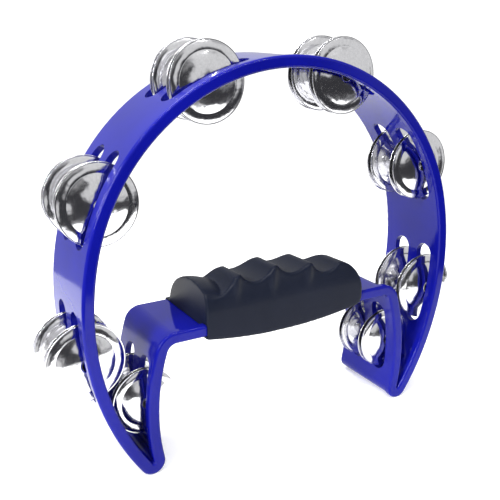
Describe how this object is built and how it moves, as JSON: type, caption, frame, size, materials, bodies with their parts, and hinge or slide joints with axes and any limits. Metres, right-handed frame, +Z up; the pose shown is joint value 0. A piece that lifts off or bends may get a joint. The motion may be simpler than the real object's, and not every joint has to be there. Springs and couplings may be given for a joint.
{
  "type": "tambourine",
  "caption": "Headless half-moon hand tambourine: blue moulded ring frame with a cutaway hand gap, double rows of paired steel jingles on pins, and a black rubber finger grip.",
  "frame": {"origin": "on the ground, under the middle of the ring, midway through its depth, with the tambourine standing on its two feet", "axes": "+X across the ring towards the rounded end of the grip, -Y out of the rimmed front face, +Z up through the crown of the ring"},
  "size_m": [0.2882, 0.059, 0.2407],
  "materials": {
    "shell": "gloss",
    "grip": "matte",
    "jingle": "polished",
    "pin": "satin"
  },
  "bodies": {
    "body": {"frame": "shell", "grip": "grip", "pin_right_lower": "pin", "pin_right_upper": "pin", "pin_right_top": "pin", "pin_right_leg": "pin", "pin_left_lower": "pin", "pin_left_upper": "pin", "pin_left_top": "pin", "pin_left_leg": "pin"},
    "jingle_right_lower_front_fore": {"jingle_right_lower_front_fore": "jingle"},
    "jingle_right_lower_front_aft": {"jingle_right_lower_front_aft": "jingle"},
    "jingle_right_lower_back_fore": {"jingle_right_lower_back_fore": "jingle"},
    "jingle_right_lower_back_aft": {"jingle_right_lower_back_aft": "jingle"},
    "jingle_right_upper_front_fore": {"jingle_right_upper_front_fore": "jingle"},
    "jingle_right_upper_front_aft": {"jingle_right_upper_front_aft": "jingle"},
    "jingle_right_upper_back_fore": {"jingle_right_upper_back_fore": "jingle"},
    "jingle_right_upper_back_aft": {"jingle_right_upper_back_aft": "jingle"},
    "jingle_right_top_front_fore": {"jingle_right_top_front_fore": "jingle"},
    "jingle_right_top_front_aft": {"jingle_right_top_front_aft": "jingle"},
    "jingle_right_top_back_fore": {"jingle_right_top_back_fore": "jingle"},
    "jingle_right_top_back_aft": {"jingle_right_top_back_aft": "jingle"},
    "jingle_right_leg_front_fore": {"jingle_right_leg_front_fore": "jingle"},
    "jingle_right_leg_front_aft": {"jingle_right_leg_front_aft": "jingle"},
    "jingle_right_leg_back_fore": {"jingle_right_leg_back_fore": "jingle"},
    "jingle_right_leg_back_aft": {"jingle_right_leg_back_aft": "jingle"},
    "jingle_left_lower_front_fore": {"jingle_left_lower_front_fore": "jingle"},
    "jingle_left_lower_front_aft": {"jingle_left_lower_front_aft": "jingle"},
    "jingle_left_lower_back_fore": {"jingle_left_lower_back_fore": "jingle"},
    "jingle_left_lower_back_aft": {"jingle_left_lower_back_aft": "jingle"},
    "jingle_left_upper_front_fore": {"jingle_left_upper_front_fore": "jingle"},
    "jingle_left_upper_front_aft": {"jingle_left_upper_front_aft": "jingle"},
    "jingle_left_upper_back_fore": {"jingle_left_upper_back_fore": "jingle"},
    "jingle_left_upper_back_aft": {"jingle_left_upper_back_aft": "jingle"},
    "jingle_left_top_front_fore": {"jingle_left_top_front_fore": "jingle"},
    "jingle_left_top_front_aft": {"jingle_left_top_front_aft": "jingle"},
    "jingle_left_top_back_fore": {"jingle_left_top_back_fore": "jingle"},
    "jingle_left_top_back_aft": {"jingle_left_top_back_aft": "jingle"},
    "jingle_left_leg_front_fore": {"jingle_left_leg_front_fore": "jingle"},
    "jingle_left_leg_front_aft": {"jingle_left_leg_front_aft": "jingle"},
    "jingle_left_leg_back_fore": {"jingle_left_leg_back_fore": "jingle"},
    "jingle_left_leg_back_aft": {"jingle_left_leg_back_aft": "jingle"}
  },
  "joints": [
    {"name": "jingle_right_lower_front_fore_slide", "type": "slide", "parent": "body", "child": "jingle_right_lower_front_fore", "axis": [0, 1, 0], "range_m": [0, 0.0012]},
    {"name": "jingle_right_lower_front_aft_slide", "type": "slide", "parent": "body", "child": "jingle_right_lower_front_aft", "axis": [0, 1, 0], "range_m": [0, 0.0018]},
    {"name": "jingle_right_lower_back_fore_slide", "type": "slide", "parent": "body", "child": "jingle_right_lower_back_fore", "axis": [0, 1, 0], "range_m": [0, 0.0012]},
    {"name": "jingle_right_lower_back_aft_slide", "type": "slide", "parent": "body", "child": "jingle_right_lower_back_aft", "axis": [0, 1, 0], "range_m": [0, 0.0018]},
    {"name": "jingle_right_upper_front_fore_slide", "type": "slide", "parent": "body", "child": "jingle_right_upper_front_fore", "axis": [0, 1, 0], "range_m": [0, 0.0012]},
    {"name": "jingle_right_upper_front_aft_slide", "type": "slide", "parent": "body", "child": "jingle_right_upper_front_aft", "axis": [0, 1, 0], "range_m": [0, 0.0018]},
    {"name": "jingle_right_upper_back_fore_slide", "type": "slide", "parent": "body", "child": "jingle_right_upper_back_fore", "axis": [0, 1, 0], "range_m": [0, 0.0012]},
    {"name": "jingle_right_upper_back_aft_slide", "type": "slide", "parent": "body", "child": "jingle_right_upper_back_aft", "axis": [0, 1, 0], "range_m": [0, 0.0018]},
    {"name": "jingle_right_top_front_fore_slide", "type": "slide", "parent": "body", "child": "jingle_right_top_front_fore", "axis": [0, 1, 0], "range_m": [0, 0.0012]},
    {"name": "jingle_right_top_front_aft_slide", "type": "slide", "parent": "body", "child": "jingle_right_top_front_aft", "axis": [0, 1, 0], "range_m": [0, 0.0018]},
    {"name": "jingle_right_top_back_fore_slide", "type": "slide", "parent": "body", "child": "jingle_right_top_back_fore", "axis": [0, 1, 0], "range_m": [0, 0.0012]},
    {"name": "jingle_right_top_back_aft_slide", "type": "slide", "parent": "body", "child": "jingle_right_top_back_aft", "axis": [0, 1, 0], "range_m": [0, 0.0018]},
    {"name": "jingle_right_leg_front_fore_slide", "type": "slide", "parent": "body", "child": "jingle_right_leg_front_fore", "axis": [0, 1, 0], "range_m": [0, 0.0012]},
    {"name": "jingle_right_leg_front_aft_slide", "type": "slide", "parent": "body", "child": "jingle_right_leg_front_aft", "axis": [0, 1, 0], "range_m": [0, 0.0018]},
    {"name": "jingle_right_leg_back_fore_slide", "type": "slide", "parent": "body", "child": "jingle_right_leg_back_fore", "axis": [0, 1, 0], "range_m": [0, 0.0012]},
    {"name": "jingle_right_leg_back_aft_slide", "type": "slide", "parent": "body", "child": "jingle_right_leg_back_aft", "axis": [0, 1, 0], "range_m": [0, 0.0018]},
    {"name": "jingle_left_lower_front_fore_slide", "type": "slide", "parent": "body", "child": "jingle_left_lower_front_fore", "axis": [0, 1, 0], "range_m": [0, 0.0012]},
    {"name": "jingle_left_lower_front_aft_slide", "type": "slide", "parent": "body", "child": "jingle_left_lower_front_aft", "axis": [0, 1, 0], "range_m": [0, 0.0018]},
    {"name": "jingle_left_lower_back_fore_slide", "type": "slide", "parent": "body", "child": "jingle_left_lower_back_fore", "axis": [0, 1, 0], "range_m": [0, 0.0012]},
    {"name": "jingle_left_lower_back_aft_slide", "type": "slide", "parent": "body", "child": "jingle_left_lower_back_aft", "axis": [0, 1, 0], "range_m": [0, 0.0018]},
    {"name": "jingle_left_upper_front_fore_slide", "type": "slide", "parent": "body", "child": "jingle_left_upper_front_fore", "axis": [0, 1, 0], "range_m": [0, 0.0012]},
    {"name": "jingle_left_upper_front_aft_slide", "type": "slide", "parent": "body", "child": "jingle_left_upper_front_aft", "axis": [0, 1, 0], "range_m": [0, 0.0018]},
    {"name": "jingle_left_upper_back_fore_slide", "type": "slide", "parent": "body", "child": "jingle_left_upper_back_fore", "axis": [0, 1, 0], "range_m": [0, 0.0012]},
    {"name": "jingle_left_upper_back_aft_slide", "type": "slide", "parent": "body", "child": "jingle_left_upper_back_aft", "axis": [0, 1, 0], "range_m": [0, 0.0018]},
    {"name": "jingle_left_top_front_fore_slide", "type": "slide", "parent": "body", "child": "jingle_left_top_front_fore", "axis": [0, 1, 0], "range_m": [0, 0.0012]},
    {"name": "jingle_left_top_front_aft_slide", "type": "slide", "parent": "body", "child": "jingle_left_top_front_aft", "axis": [0, 1, 0], "range_m": [0, 0.0018]},
    {"name": "jingle_left_top_back_fore_slide", "type": "slide", "parent": "body", "child": "jingle_left_top_back_fore", "axis": [0, 1, 0], "range_m": [0, 0.0012]},
    {"name": "jingle_left_top_back_aft_slide", "type": "slide", "parent": "body", "child": "jingle_left_top_back_aft", "axis": [0, 1, 0], "range_m": [0, 0.0018]},
    {"name": "jingle_left_leg_front_fore_slide", "type": "slide", "parent": "body", "child": "jingle_left_leg_front_fore", "axis": [0, 1, 0], "range_m": [0, 0.0012]},
    {"name": "jingle_left_leg_front_aft_slide", "type": "slide", "parent": "body", "child": "jingle_left_leg_front_aft", "axis": [0, 1, 0], "range_m": [0, 0.0018]},
    {"name": "jingle_left_leg_back_fore_slide", "type": "slide", "parent": "body", "child": "jingle_left_leg_back_fore", "axis": [0, 1, 0], "range_m": [0, 0.0012]},
    {"name": "jingle_left_leg_back_aft_slide", "type": "slide", "parent": "body", "child": "jingle_left_leg_back_aft", "axis": [0, 1, 0], "range_m": [0, 0.0018]}
  ]
}
